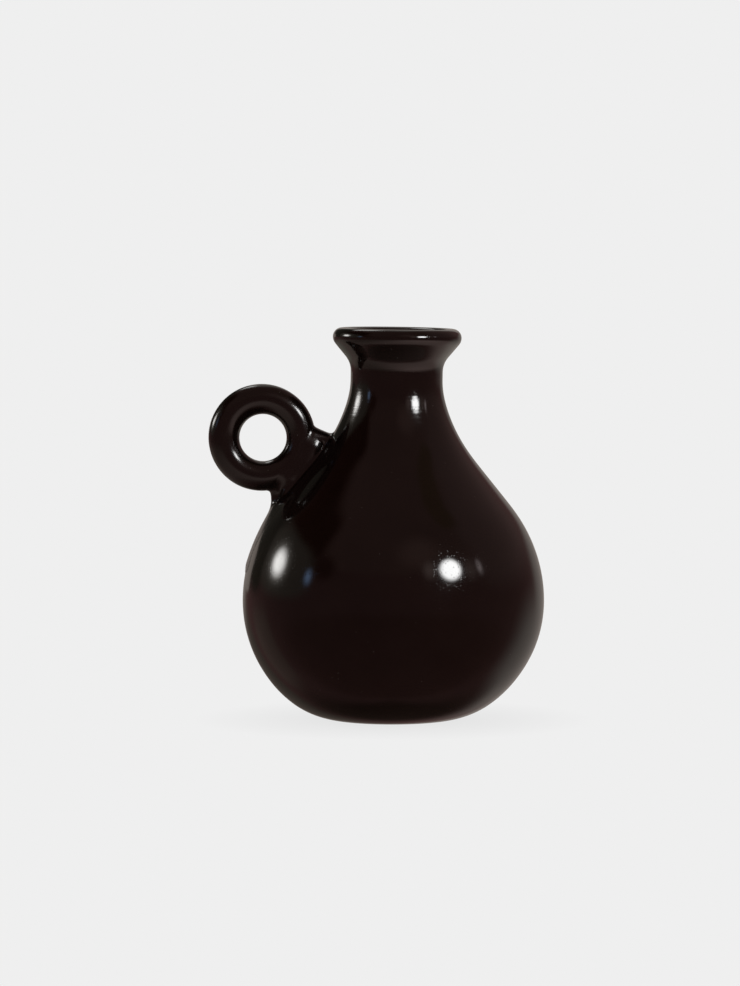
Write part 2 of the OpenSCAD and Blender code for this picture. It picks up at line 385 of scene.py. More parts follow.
def build_turning_tree():
    """Turns a line of points round the pot's axis, then adds the lean and the unevenness of the hand."""
    t = Tree("Turned clay", "GeometryNodeTree", [
        ("Geometry", "NodeSocketGeometry", None),
        ("Turns", "NodeSocketInt", 64),
        ("Closed", "NodeSocketInt", 1),
        ("Lean", "NodeSocketFloat", 0.0),
        ("Level foot height", "NodeSocketFloat", 0.06),
        ("Unevenness", "NodeSocketFloat", 0.0),
        ("Uneven size", "NodeSocketFloat", 0.04),
        ("Seed", "NodeSocketFloat", 0.0),
        ("Clay", "NodeSocketMaterial", None),
    ], [("Geometry", "NodeSocketGeometry")])
    count = t.node("GeometryNodeAttributeDomainSize", {0: t["Geometry"]}).outputs["Point Count"]
    rows = t.math("ADD", count, t["Closed"])
    columns = t.math("ADD", t["Turns"], 1.0)
    grid = t.node("GeometryNodeMeshGrid", {
        "Size X": 1.0, "Size Y": 1.0, "Vertices X": columns, "Vertices Y": rows})
    index = t.node("GeometryNodeInputIndex").outputs[0]
    column = t.math("FLOOR", t.math("DIVIDE", t.math("ADD", index, 0.5), rows))
    row = t.math("SUBTRACT", index, t.math("MULTIPLY", column, rows))
    place = t.math("MODULO", row, count)

    def sampled(kind, socket):
        """A node that reads a value of the line of points; its Index is fed afterwards."""
        node = t.node("GeometryNodeSampleIndex", data_type=kind)
        feed(t.tree, t["Geometry"], node.inputs["Geometry"])
        feed(t.tree, socket, node.inputs["Value"])
        return node

    position = t.node("GeometryNodeInputPosition").outputs[0]
    profile = sampled("FLOAT_VECTOR", position)
    feed(t.tree, place, profile.inputs["Index"])
    flat = t.node("ShaderNodeSeparateXYZ", {0: profile.outputs[0]})
    angle = t.math("MULTIPLY", t.math("DIVIDE", column, t["Turns"]), 2 * math.pi)
    cosine = t.math("COSINE", angle)
    sine = t.math("SINE", angle)
    around = t.node("ShaderNodeCombineXYZ", {0: cosine, 1: sine})
    turned = t.node("ShaderNodeCombineXYZ", {
        0: t.math("MULTIPLY", flat.outputs[0], cosine),
        1: t.math("MULTIPLY", flat.outputs[0], sine),
        2: flat.outputs[2]})
    wobble = t.node("ShaderNodeTexNoise", {
        "Vector": turned.outputs[0],
        "W": t["Seed"],
        "Scale": t.math("DIVIDE", 1.0, t["Uneven size"]),
        "Detail": 1.0,
        "Roughness": 0.35}, noise_dimensions="4D")
    swing = t.math("MULTIPLY", t.math("SUBTRACT", wobble.outputs[0], 0.5), t["Unevenness"])
    level = t.node("ShaderNodeMapRange", {
        "Value": flat.outputs[2],
        "From Max": t["Level foot height"]}, interpolation_type="SMOOTHSTEP").outputs[0]
    swing = t.math("MULTIPLY", swing, level)
    bumped = t.node("ShaderNodeVectorMath", {0: around.outputs[0], "Scale": swing}, operation="SCALE")
    uneven = t.node("ShaderNodeVectorMath", {0: turned.outputs[0], 1: bumped.outputs[0]}, operation="ADD")
    apart = t.node("ShaderNodeSeparateXYZ", {0: uneven.outputs[0]})
    sideways = t.math("MULTIPLY", t["Lean"], apart.outputs[2])
    sunk = t.math("MULTIPLY", level, t.math("MULTIPLY", t["Lean"], apart.outputs[0]))
    leaned = t.node("ShaderNodeCombineXYZ", {
        0: t.math("ADD", apart.outputs[0], sideways),
        1: apart.outputs[1],
        2: t.math("SUBTRACT", apart.outputs[2], sunk)})
    shaped = t.node("GeometryNodeSetPosition", {"Geometry": grid.outputs[0], "Position": leaned.outputs[0]})

    rawness = t.node("GeometryNodeInputNamedAttribute", {"Name": "raw"}, data_type="FLOAT").outputs[0]
    raw_row = sampled("FLOAT", rawness)
    feed(t.tree, place, raw_row.inputs["Index"])
    kept_raw = t.node("GeometryNodeStoreNamedAttribute", {
        "Geometry": shaped.outputs[0], "Name": "raw", "Value": raw_row.outputs[0]},
        data_type="FLOAT", domain="POINT")

    face_rows = t.math("SUBTRACT", rows, 1.0)
    face_column = t.math("FLOOR", t.math("DIVIDE", t.math("ADD", index, 0.5), face_rows))
    face_row = t.math("SUBTRACT", index, t.math("MULTIPLY", face_column, face_rows))
    seam = t.node("GeometryNodeInputNamedAttribute", {"Name": "seam"}, data_type="FLOAT").outputs[0]
    seam_row = sampled("FLOAT", seam)
    feed(t.tree, face_row, seam_row.inputs["Index"])
    kept_seam = t.node("GeometryNodeStoreNamedAttribute", {
        "Geometry": kept_raw.outputs[0], "Name": "seam", "Value": seam_row.outputs[0]},
        data_type="FLOAT", domain="FACE")
    welded = t.node("GeometryNodeMergeByDistance", {"Geometry": kept_seam.outputs[0], "Distance": WALL_WELD})
    smooth = t.node("GeometryNodeSetShadeSmooth", {"Geometry": welded.outputs[0]})
    real = t.node("GeometryNodeRealizeInstances", {"Geometry": smooth.outputs[0]})
    clad = t.node("GeometryNodeSetMaterial", {"Geometry": real.outputs[0], "Material": t["Clay"]})
    t.give("Geometry", clad.outputs[0])
    return t.tree


def build_ring_tree():
    """Bends a coil of clay into a ring that stands upright, a little thicker on one side."""
    t = Tree("Coiled ring", "GeometryNodeTree", [
        ("Geometry", "NodeSocketGeometry", None),
        ("Ring radius", "NodeSocketFloat", 0.016),
        ("Coil radius", "NodeSocketFloat", 0.006),
        ("Swelling", "NodeSocketFloat", 0.0),
        ("Swelling angle", "NodeSocketFloat", 0.0),
        ("Steps round", "NodeSocketInt", 192),
        ("Steps across", "NodeSocketInt", 72),
        ("Unevenness", "NodeSocketFloat", 0.0),
        ("Uneven size", "NodeSocketFloat", 0.012),
        ("Middle", "NodeSocketVector", None),
        ("Clay", "NodeSocketMaterial", None),
    ], [("Geometry", "NodeSocketGeometry")])
    path = t.node("GeometryNodeCurvePrimitiveCircle", {
        "Resolution": t["Steps round"], "Radius": t["Ring radius"]})
    along = t.node("GeometryNodeSplineParameter").outputs["Factor"]
    angle = t.math("SUBTRACT", t.math("MULTIPLY", along, 2 * math.pi), t["Swelling angle"])
    swell = t.math("MULTIPLY", t.math("COSINE", angle), t["Swelling"])
    thickness = t.math("ADD", t["Coil radius"], swell)
    thick = t.node("GeometryNodeSetCurveRadius", {0: path.outputs[0], "Radius": thickness})
    position = t.node("GeometryNodeInputPosition").outputs[0]
    outwards = t.node("ShaderNodeVectorMath", {0: position}, operation="NORMALIZE").outputs[0]
    pushed = t.node("ShaderNodeVectorMath", {0: outwards, "Scale": swell}, operation="SCALE")
    eccentric = t.node("GeometryNodeSetPosition", {"Geometry": thick.outputs[0], "Offset": pushed.outputs[0]})
    cut = t.node("GeometryNodeCurvePrimitiveCircle", {"Resolution": t["Steps across"], "Radius": 1.0})
    coil = t.node("GeometryNodeCurveToMesh", {
        "Curve": eccentric.outputs[0],
        "Profile Curve": cut.outputs[0],
        "Scale": t.node("GeometryNodeInputRadius").outputs[0]})
    upright = t.node("GeometryNodeTransform", {
        "Geometry": coil.outputs[0],
        "Rotation": (math.pi / 2, 0, 0),
        "Translation": t["Middle"]})
    wobble = t.node("ShaderNodeTexNoise", {
        "Scale": t.math("DIVIDE", 1.0, t["Uneven size"]),
        "Detail": 1.0,
        "Vector": position})
    swing = t.math("MULTIPLY", t.math("SUBTRACT", wobble.outputs[0], 0.5), t["Unevenness"])
    bumped = t.node("ShaderNodeVectorMath", {
        0: t.node("GeometryNodeInputNormal").outputs[0], "Scale": swing}, operation="SCALE")
    uneven = t.node("GeometryNodeSetPosition", {"Geometry": upright.outputs[0], "Offset": bumped.outputs[0]})
    smooth = t.node("GeometryNodeSetShadeSmooth", {"Geometry": uneven.outputs[0]})
    real = t.node("GeometryNodeRealizeInstances", {"Geometry": smooth.outputs[0]})
    clad = t.node("GeometryNodeSetMaterial", {"Geometry": real.outputs[0], "Material": t["Clay"]})
    t.give("Geometry", clad.outputs[0])
    return t.tree


def run_tree(name, tree, mesh, values):
    """Runs a geometry tree on a mesh and returns its result as a plain mesh object at the origin."""
    holder = bpy.data.objects.new(name + "_blank", mesh)
    scene.collection.objects.link(holder)
    modifier = holder.modifiers.new("tree", "NODES")
    modifier.node_group = tree
    identifiers = {s.name: s.identifier for s in tree.interface.items_tree if s.in_out == "INPUT"}
    for label, value in values.items():
        modifier[identifiers[label]] = value
    bpy.context.view_layer.update()
    depsgraph = bpy.context.evaluated_depsgraph_get()
    result = bpy.data.meshes.new_from_object(holder.evaluated_get(depsgraph))
    result.name = name
    bpy.data.objects.remove(holder)
    piece = bpy.data.objects.new(name, result)
    scene.collection.objects.link(piece)
    return piece


def corner_arrays(mesh):
    """Vertex places, corner vertices, corner faces, face normals and areas of a mesh as arrays."""
    places = np.empty(len(mesh.vertices) * 3, np.float32)
    mesh.vertices.foreach_get("co", places)
    corner_vertex = np.empty(len(mesh.loops), np.int32)
    mesh.loops.foreach_get("vertex_index", corner_vertex)
    counts = np.empty(len(mesh.polygons), np.int32)
    mesh.polygons.foreach_get("loop_total", counts)
    normals = np.empty(len(mesh.polygons) * 3, np.float32)
    mesh.polygons.foreach_get("normal", normals)
    areas = np.empty(len(mesh.polygons), np.float32)
    mesh.polygons.foreach_get("area", areas)
    corner_face = np.repeat(np.arange(len(counts)), counts)
    return places.reshape(-1, 3), corner_vertex, corner_face, normals.reshape(-1, 3), areas


def face_outwards(mesh):
    """Turns a closed mesh right side out if it is inside out."""
    mesh.calc_loop_triangles()
    places = np.array([v.co for v in mesh.vertices])
    tris = np.array([t.vertices for t in mesh.loop_triangles])
    a, b, c = places[tris[:, 0]], places[tris[:, 1]], places[tris[:, 2]]
    if np.einsum("ij,ij->", a, np.cross(b, c)) < 0:
        mesh.flip_normals()


# Two corners are at one place when they agree to this many metres. A place and its group, as four whole
# numbers, become one number with these factors
SAME_PLACE = 2e-6
KEY_STEP = 400009
KEY_FACTORS = np.array([1, KEY_STEP, KEY_STEP ** 2, 7], np.int64)


def share_normals(objects):
    """Gives neighbouring wall pieces the same normals along their seams, so that the seams don't show."""
    data = []
    for number, obj in enumerate(objects):
        places, corner_vertex, corner_face, normals, areas = corner_arrays(obj.data)
        seam = np.empty(len(areas), np.float32)
        obj.data.attributes["seam"].data.foreach_get("value", seam)
        corner_seam = seam[corner_face] > 0.5
        keys = np.round(places[corner_vertex] / SAME_PLACE).astype(np.int64)
        keys = np.c_[keys, np.where(corner_seam, number + 1, 0)]
        data.append((keys, normals[corner_face], areas[corner_face], corner_seam))
    keys = np.concatenate([d[0] for d in data])
    weighted = np.concatenate([d[1] * d[2][:, None] for d in data])
    _, group = np.unique(keys @ KEY_FACTORS, return_inverse=True)
    sums = np.zeros((group.max() + 1, 3))
    np.add.at(sums, group, weighted)
    sums /= np.maximum(np.linalg.norm(sums, axis=1), 1e-20)[:, None]
    shared = sums[group]
    start = 0
    for obj, (_, face_normals, _, corner_seam) in zip(objects, data):
        own = shared[start:start + len(corner_seam)].copy()
        own[corner_seam] = face_normals[corner_seam]
        obj.data.normals_split_custom_set(own.tolist())
        start += len(corner_seam)


# ---------------------------------------------------------------- materials


# The stone's strokes run level, so their pattern is squeezed upwards. A pit fills this share of its cell.
# Turning marks are a fine noise up the pot that is drawn out round it
STROKE_SQUEEZE = (1.0, 1.0, 1.7)
PIT_R = 0.34
MARK_SCALE = 900.0
MARK_STRETCH = (0.05, 0.05, 1.0)


def build_relief_group():
    """Height of the burnished skin: soft strokes of the stone, a fine grain, small pits that break up a
    highlight, and fine turning marks round the pot above a height."""
    t = Tree("Burnished relief", "ShaderNodeTree", [
        ("Place", "NodeSocketVector", None),
        ("Stroke height", "NodeSocketFloat", 0.02),
        ("Stroke scale", "NodeSocketFloat", 90.0),
        ("Grain height", "NodeSocketFloat", 0.004),
        ("Grain scale", "NodeSocketFloat", 1800.0),
        ("Pit depth", "NodeSocketFloat", 0.01),
        ("Pit scale", "NodeSocketFloat", 900.0),
        ("Pit share", "NodeSocketFloat", 0.3),
        ("Turning height", "NodeSocketFloat", 0.0),
        ("Turned from", "NodeSocketFloat", 0.0),
        ("Turned fully from", "NodeSocketFloat", 0.01),
    ], [("Height", "NodeSocketFloat")])
    flattened = t.node("ShaderNodeMapping", {"Vector": t["Place"], "Scale": STROKE_SQUEEZE})
    strokes = t.node("ShaderNodeTexNoise", {
        "Vector": flattened.outputs[0], "Scale": t["Stroke scale"], "Detail": 2.0, "Roughness": 0.4})
    grain = t.node("ShaderNodeTexNoise", {
        "Vector": t["Place"], "Scale": t["Grain scale"], "Detail": 2.0, "Roughness": 0.5})
    cells = t.node("ShaderNodeTexVoronoi", {"Vector": t["Place"], "Scale": t["Pit scale"]})
    chance = t.node("ShaderNodeSeparateXYZ", {0: cells.outputs["Color"]})
    pitted = t.math("LESS_THAN", chance.outputs[0], t["Pit share"])
    bowl = t.node("ShaderNodeMapRange", {
        "Value": cells.outputs["Distance"],
        "From Min": PIT_R,
        "From Max": 0.0}, interpolation_type="SMOOTHSTEP").outputs[0]
    pits = t.math("MULTIPLY", t.math("MULTIPLY", pitted, bowl), t["Pit depth"])
    height = t.math(
        "ADD",
        t.math("MULTIPLY", strokes.outputs[0], t["Stroke height"]),
        t.math("MULTIPLY", grain.outputs[0], t["Grain height"]))
    rings = t.node("ShaderNodeMapping", {"Vector": t["Place"], "Scale": MARK_STRETCH})
    marks = t.node("ShaderNodeTexNoise", {
        "Vector": rings.outputs[0], "Scale": MARK_SCALE, "Detail": 2.0, "Roughness": 0.6})
    level = t.node("ShaderNodeSeparateXYZ", {0: t["Place"]})
    turned = t.node("ShaderNodeMapRange", {
        "Value": level.outputs[2],
        "From Min": t["Turned from"],
        "From Max": t["Turned fully from"]}).outputs[0]
    turning = t.math("MULTIPLY", t.math("MULTIPLY", marks.outputs[0], turned), t["Turning height"])
    t.give("Height", t.math("ADD", t.math("SUBTRACT", height, pits), turning))
    return t.tree


# Share of the cells that hold a pale grain
GRAIN_SHARE = 0.1


def build_tone_group():
    """Colour of the fired clay: near black with a warm brown cast in soft patches, and a few pale grains."""
    t = Tree("Fired tone", "ShaderNodeTree", [
        ("Place", "NodeSocketVector", None),
        ("Dark", "NodeSocketColor", (0.002, 0.001, 0.001, 1)),
        ("Warm", "NodeSocketColor", (0.01, 0.005, 0.004, 1)),
        ("Grain", "NodeSocketColor", (0.3, 0.28, 0.25, 1)),
        ("Grain scale", "NodeSocketFloat", 260.0),
        ("Grain size", "NodeSocketFloat", 0.05),
    ], [("Color", "NodeSocketColor"), ("Grains", "NodeSocketFloat")])
    patches = t.node("ShaderNodeTexNoise", {
        "Vector": t["Place"], "Scale": 45.0, "Detail": 4.0, "Roughness": 0.6})
    spread = t.node("ShaderNodeMapRange", {"Value": patches.outputs[0], "From Min": 0.3, "From Max": 0.7})
    body = mixed(t.tree, spread.outputs[0], t["Dark"], t["Warm"])
    cells = t.node("ShaderNodeTexVoronoi", {"Vector": t["Place"], "Scale": t["Grain scale"]})
    chance = t.node("ShaderNodeSeparateXYZ", {0: cells.outputs["Color"]})
    picked = t.math("GREATER_THAN", chance.outputs[0], 1 - GRAIN_SHARE)
    near = t.math("LESS_THAN", cells.outputs["Distance"], t["Grain size"])
    grains = t.math("MULTIPLY", picked, near)
    t.give("Color", mixed(t.tree, grains, body, t["Grain"]))
    t.give("Grains", grains)
    return t.tree


def new_material(name):
    """A material with its nodes, its links and its shader."""
    material = bpy.data.materials.new(name)
    material.use_nodes = True
    nodes = material.node_tree.nodes
    return material, nodes, material.node_tree.links, nodes["Principled BSDF"]


def placed_group(nodes, tree, values):
    """A shader group in a material, with its own values."""
    group = nodes.new("ShaderNodeGroup")
    group.node_tree = tree
    for label, value in values.items():
        group.inputs[label].default_value = value
    return group


RELIEF = build_relief_group()
TONE = build_tone_group()
RAW_COLOUR = (0.030, 0.024, 0.021, 1)
RAW_ROUGHNESS = 0.62


def burnished_clay(name, smoothest, dullest, turning_height):
    """The outside: polished hard with a stone, glossy and near black. It is unpolished where the raw
    attribute rises."""
    material, nodes, links, shader = new_material(name)
    place = nodes.new("ShaderNodeTexCoord").outputs["Object"]
    tone = placed_group(nodes, TONE, {
        "Dark": (0.0026, 0.0011, 0.0007, 1),
        "Warm": (0.0044, 0.0021, 0.0015, 1),
        "Grain": (0.07, 0.063, 0.056, 1),
        "Grain scale": 420.0,
        "Grain size": 0.06})
    links.new(place, tone.inputs["Place"])
    relief = placed_group(nodes, RELIEF, {
        "Stroke height": 0.012,
        "Stroke scale": 95.0,
        "Grain height": 0.0016,
        "Grain scale": 2200.0,
        "Pit depth": 0.016,
        "Pit scale": 1150.0,
        "Pit share": 0.5,
        "Turning height": turning_height,
        "Turned from": 0.112,
        "Turned fully from": 0.128})
    links.new(place, relief.inputs["Place"])
    bump = nodes.new("ShaderNodeBump")
    bump.inputs["Strength"].default_value = 1.0
    bump.inputs["Distance"].default_value = 0.001
    links.new(relief.outputs["Height"], bump.inputs["Height"])
    links.new(bump.outputs["Normal"], shader.inputs["Normal"])
    raw = nodes.new("ShaderNodeAttribute")
    raw.attribute_name = "raw"
    smudge = nodes.new("ShaderNodeTexNoise")
    smudge.inputs["Scale"].default_value = 60.0
    smudge.inputs["Detail"].default_value = 3.0
    links.new(place, smudge.inputs["Vector"])
    polish = nodes.new("ShaderNodeMapRange")
    polish.inputs["From Min"].default_value = 0.3
    polish.inputs["From Max"].default_value = 0.7
    polish.inputs["To Min"].default_value = smoothest
    polish.inputs["To Max"].default_value = dullest
    links.new(smudge.outputs[0], polish.inputs["Value"])
    tree = material.node_tree
    rough = mixed(tree, raw.outputs["Fac"], polish.outputs[0], RAW_ROUGHNESS, "FLOAT")
    links.new(rough, shader.inputs["Roughness"])
    colour = mixed(tree, raw.outputs["Fac"], tone.outputs["Color"], RAW_COLOUR)
    links.new(colour, shader.inputs["Base Color"])
    shader.inputs["IOR"].default_value = 1.5
    return material


def dry_slip():
    """Slip in the seams: dull, unpolished clay."""
    material, nodes, links, shader = new_material("dry_slip")
    place = nodes.new("ShaderNodeTexCoord").outputs["Object"]
    tone = placed_group(nodes, TONE, {
        "Dark": RAW_COLOUR,
        "Warm": (0.055, 0.042, 0.036, 1),
        "Grain": (0.20, 0.18, 0.16, 1),
        "Grain scale": 900.0,
        "Grain size": 0.2})
    relief = placed_group(nodes, RELIEF, {
        "Stroke height": 0.05,
        "Stroke scale": 400.0,
        "Grain height": 0.03,
        "Grain scale": 2500.0,
        "Pit depth": 0.04,
        "Pit scale": 1500.0,
        "Pit share": 0.5})
    links.new(place, tone.inputs["Place"])
    links.new(place, relief.inputs["Place"])
    bump = nodes.new("ShaderNodeBump")
    bump.inputs["Distance"].default_value = 0.001
    links.new(relief.outputs["Height"], bump.inputs["Height"])
    links.new(bump.outputs["Normal"], shader.inputs["Normal"])
    links.new(tone.outputs["Color"], shader.inputs["Base Color"])
    shader.inputs["Roughness"].default_value = 0.8
    return material


CLAY = burnished_clay("burnished_clay", smoothest=0.06, dullest=0.12, turning_height=0.03)
RING_CLAY = burnished_clay("rubbed_clay", smoothest=0.13, dullest=0.21, turning_height=0.0)
SLIP = dry_slip()


# ---------------------------------------------------------------- clay pieces


TURNING = build_turning_tree()
RING = build_ring_tree()

# The inside is raw, and the polish fades in from this far below the throat's top to this far above it. A
# point is on the inside when it is this near to one of every few points of the inside's line
RAW_BELOW = 6
RAW_ABOVE = 4
INSIDE_SKIP = 8
INSIDE_REACH = 0.6


def raw_amount(points):
    """1 on the unpolished inside, 0 on the outside and over the lip, easing in below the mouth."""
    inside = np.zeros(len(points))
    gaps = np.linalg.norm(points[:, None] - SECTION[None, TOP::INSIDE_SKIP], axis=2).min(axis=1)
    within = gaps < INSIDE_REACH
    inside[within] = 1 - eased(points[within][:, 1], THROAT_HIGH - RAW_BELOW, THROAT_HIGH + RAW_ABOVE)
    return inside


def wall_piece(node, low, high):
    """One turned piece of the wall, from its seam below to its seam above."""
    points, seam = wall_profile(low, high)
    count = len(points)
    edges = [(i, i + 1) for i in range(count - 1)]
    mesh = bpy.data.meshes.new(node + "_line")
    mesh.from_pydata([(r * MM, 0, z * MM) for r, z in points], edges, [])
    raw = mesh.attributes.new("raw", "FLOAT", "POINT")
    raw.data.foreach_set("value", raw_amount(points))
    marks = mesh.attributes.new("seam", "FLOAT", "POINT")
    marks.data.foreach_set("value", np.array(seam, float))
    piece = run_tree(node + "_clay", TURNING, mesh, {
        "Turns": TURNS,
        "Closed": 1 if low else 0,
        "Lean": LEAN,
        "Level foot height": LEVEL_FOOT_H * MM,
        "Unevenness": 2 * UNEVENNESS * MM,
        "Uneven size": UNEVEN_SIZE * MM,
        "Seed": 3.0,
        "Clay": CLAY})
    face_outwards(piece.data)
    return piece


WALLS = {
    "foot_disc": (None, "foot"),
    "belly_wall": ("foot", "girth"),
    "shoulder_wall": ("girth", "neck"),
    "neck_collar": ("neck", "rim"),
    "rim_coil": ("rim", None),
}
walls = {node: wall_piece(node, low, high) for node, (low, high) in WALLS.items()}
share_normals(list(walls.values()))


def leaned(point):
    """A place on the upright pot, in metres, moved with the pot's lean."""
    x, y, z = point
    level = float(eased(z, 0, LEVEL_FOOT_H * MM))
    return Vector((x + LEAN * z, y, z - level * LEAN * x))


# The ring stands where the lean takes it, and it was pressed on a touch low. Its coil swells towards one
# side, at an angle in degrees
RING_DROP = 1.2
RING_SHRINK = 0.25
COIL_SHRINK = 0.15
RING_SWELLING = 0.22
RING_SWELLING_ANGLE = 170
RING_UNEVENNESS = 0.11
RING_UNEVEN_SIZE = 13
RING_MIDDLE = leaned((RING_X * MM, 0, RING_Z * MM)) - Vector((0, 0, RING_DROP * MM))
ring = run_tree("handle_ring_clay", RING, bpy.data.meshes.new("ring_line"), {
    "Ring radius": (RING_R - RING_SHRINK) * MM,
    "Coil radius": (COIL_R - COIL_SHRINK) * MM,
    "Swelling": RING_SWELLING * MM,
    "Swelling angle": math.radians(RING_SWELLING_ANGLE),
    "Unevenness": RING_UNEVENNESS * MM,
    "Uneven size": RING_UNEVEN_SIZE * MM,
    "Middle": RING_MIDDLE,
    "Clay": RING_CLAY})
face_outwards(ring.data)


# ---------------------------------------------------------------- saddle of clay under the ring


def signed_distances(tree, points):
    """Distance in millimetres from each point to a mesh, less than zero inside it."""
    result = np.empty(len(points))
    for i, p in enumerate(points):
        place, normal, _, distance = tree.find_nearest(p)
        result[i] = math.copysign(distance, (Vector(p) - place).dot(normal))
    return result / MM


def melted(a, b, reach):
    """Two clay bodies pressed together, with the corner between them filled to about that reach."""
    overlap = np.maximum(reach - np.abs(a - b), 0) / reach
    return np.minimum(a, b) - overlap ** 3 * reach / 6


def roll_of_clay(points, start, stop, start_r, stop_r, widening):
    """Distance to a tapered roll of clay between two places, in millimetres. widening is across the pot."""
    start = np.array(start, float)
    stop = np.array(stop, float)
    scale = np.array([1, 1 / widening, 1])
    line = stop - start
    t = np.clip((points - start) @ line / (line @ line), 0, 1)
    off = (points - start - t[:, None] * line) * scale
    return np.linalg.norm(off, axis=1) - (start_r + (stop_r - start_r) * t)


def outer_skin_tree(meshes):
    """The outside of the wall on the ring's side, as a tree that finds its nearest place."""
    points = []
    faces = []
    for mesh in meshes:
        base = len(points)
        points.extend(v.co.copy() for v in mesh.vertices)
        seam_marks = mesh.attributes["seam"].data
        raw_marks = mesh.attributes["raw"].data
        for face in mesh.polygons:
            outer = all(raw_marks[v].value < 0.5 for v in face.vertices)
            if seam_marks[face.index].value < 0.5 and outer and face.center.x < 0:
                faces.append([v + base for v in face.vertices])
    return BVHTree.FromPolygons(points, faces)


BODY_TREE = outer_skin_tree([walls["shoulder_wall"].data, walls["neck_collar"].data])
RING_TREE = BVHTree.FromPolygons([v.co for v in ring.data.vertices], [p.vertices for p in ring.data.polygons])

# The clay of the saddle, in millimetres from the ring's middle. The web is bent round the ring: radius,
# first and last angle in degrees, and thickness
WEB = (20.2, -58, -12, 5.9)
# The straight rolls: start, stop, radius at each, and widening across the pot
HORN = ((21.0, 0, 0.8), (28.5, 0, -1.8), 3.3, 2.8, 1.3)
LUG = ((5.8, 0, -20.0), (6.0, 0, -28.5), 2.9, 2.5, 1.0)
THUMBED_WAD = ((10.6, -3.6, -19.5), (7.4, -4.6, -28.0), 2.2, 2.0, 1.0)
TAIL = ((6.6, 0, -30.0), (-3.8, 0, -52.0), 3.0, 1.6, 2.2)
# How far the corner is filled where each is pressed on, and where the tail meets the rest
WEB_FILL = 3.4
HORN_FILL = 2.4
LUG_FILL = 3.0
WAD_FILL = 2.0
TAIL_FILL = 6.0
JOIN_FILL = 3.0
# How far the skin lies under the pressed shape, the thickness at which it ends, and how deep it is rooted
SINK = 0.015
FEATHER = 0.03
ROOT = 1.0
# The space that it is made in, from the ring's middle, and the cells that it is made with. A coarse cell is
# this many fine ones, and only near the skin are the values worked out for each fine cell
SPACE_LOW = (-14, -17, -60)
SPACE_HIGH = (36, 17, 12)
FINE_CELL = 0.5
COARSE_CELLS = 4
NEAR = 1.3
# Its points are then moved on to the true shape, in rounds, none further than the longest move in one
MOVES = 2
LONGEST_MOVE = 0.3
LEAST_SLOPE = 0.3
MOVE_NUDGE = 0.05
NORMAL_NUDGE = 0.4
# A face takes the pressed shape's normals where the two agree this well
AGREEMENT = 0.6


def bent_roll(points, radius, start, stop, roll_r):
    """Distance in millimetres to a roll bent round the ring's middle, between two angles in degrees."""
    angle = np.degrees(np.arctan2(points[:, 2], points[:, 0]))
    angle = np.radians(np.clip(angle, start, stop))
    line = np.c_[radius * np.cos(angle), np.zeros(len(points)), radius * np.sin(angle)]
    return np.linalg.norm(points - line, axis=1) - roll_r


def saddle_fields(points):
    """The plain union of ring and pot, and the same with the saddle's clay pressed in, at points in metres.
    Both are distances in millimetres, less than zero inside."""
    body = signed_distances(BODY_TREE, points)
    coil = signed_distances(RING_TREE, points)
    mm = (points - np.array(RING_MIDDLE)) / MM
    plain = np.minimum(body, coil)
    pressed = melted(coil, bent_roll(mm, *WEB), WEB_FILL)
    pressed = melted(pressed, roll_of_clay(mm, *HORN), HORN_FILL)
    pressed = melted(pressed, roll_of_clay(mm, *LUG), LUG_FILL)
    pressed = melted(pressed, roll_of_clay(mm, *THUMBED_WAD), WAD_FILL)
    smeared = melted(body, roll_of_clay(mm, *TAIL), TAIL_FILL)
    return plain, melted(pressed, smeared, JOIN_FILL)


def saddle_solid(points):
    """Less than zero inside the saddle: the pressed clay, less the pot and the ring that it sits on."""
    plain, pressed = saddle_fields(points)
    return np.maximum.reduce([pressed + SINK, FEATHER - (plain - pressed), -(plain + ROOT)])


def grid_points(low, counts, step):
    """All points of a grid as one list."""
    axes = [low[i] + step * np.arange(counts[i]) for i in range(3)]
    return np.stack(np.meshgrid(*axes, indexing="ij"), axis=-1).reshape(-1, 3)


def stretched(field, times):
    """A grid of values made that many times finer, with straight steps between them."""
    for axis in range(3):
        new = np.arange((field.shape[axis] - 1) * times + 1) / times
        below = np.minimum(new.astype(int), field.shape[axis] - 2)
        share = (new - below).reshape([-1 if i == axis else 1 for i in range(3)])
        field = np.take(field, below, axis) * (1 - share) + np.take(field, below + 1, axis) * share
    return field


def grid_surface(field, low, step):
    """Skin of the space where a grid of values is below zero, with one point in each cell it crosses."""
    cells = np.array(field.shape) - 1
    sums = np.zeros((*cells, 3))
    hits = np.zeros(cells)
    crossings = []
    for axis in range(3):
        ahead = np.roll(field, -1, axis)
        crossed = (field < 0) != (ahead < 0)
        at = np.argwhere(crossed)
        at = at[np.all((at >= 1) & (at < cells), axis=1)]
        first = field[tuple(at.T)]
        second = ahead[tuple(at.T)]
        point = at.astype(float)
        point[:, axis] += first / (first - second)
        side_a, side_b = [i for i in range(3) if i != axis]
        corners = []
        for back_a, back_b in ((0, 0), (1, 0), (1, 1), (0, 1)):
            cell = at.copy()
            cell[:, side_a] -= back_a
            cell[:, side_b] -= back_b
            np.add.at(sums, tuple(cell.T), point)
            np.add.at(hits, tuple(cell.T), 1)
            corners.append(cell)
        crossings.append((corners, (first < 0) == (axis == 1)))
    used = hits > 0
    number = -np.ones(cells, int)
    number[used] = np.arange(used.sum())
    points = low + step * (sums[used] / hits[used][:, None])
    faces = []
    for corners, turned in crossings:
        quad = np.stack([number[tuple(c.T)] for c in corners], axis=1)
        quad[turned] = quad[turned][:, ::-1]
        faces.append(quad)
    return points, np.concatenate(faces)


def slope_of(field, points, nudge):
    """Steepness of a field at points, per millimetre along each axis."""
    return np.stack([
        (field(points + nudge * MM * axis) - field(points - nudge * MM * axis)) / (2 * nudge)
        for axis in np.eye(3)], axis=1)


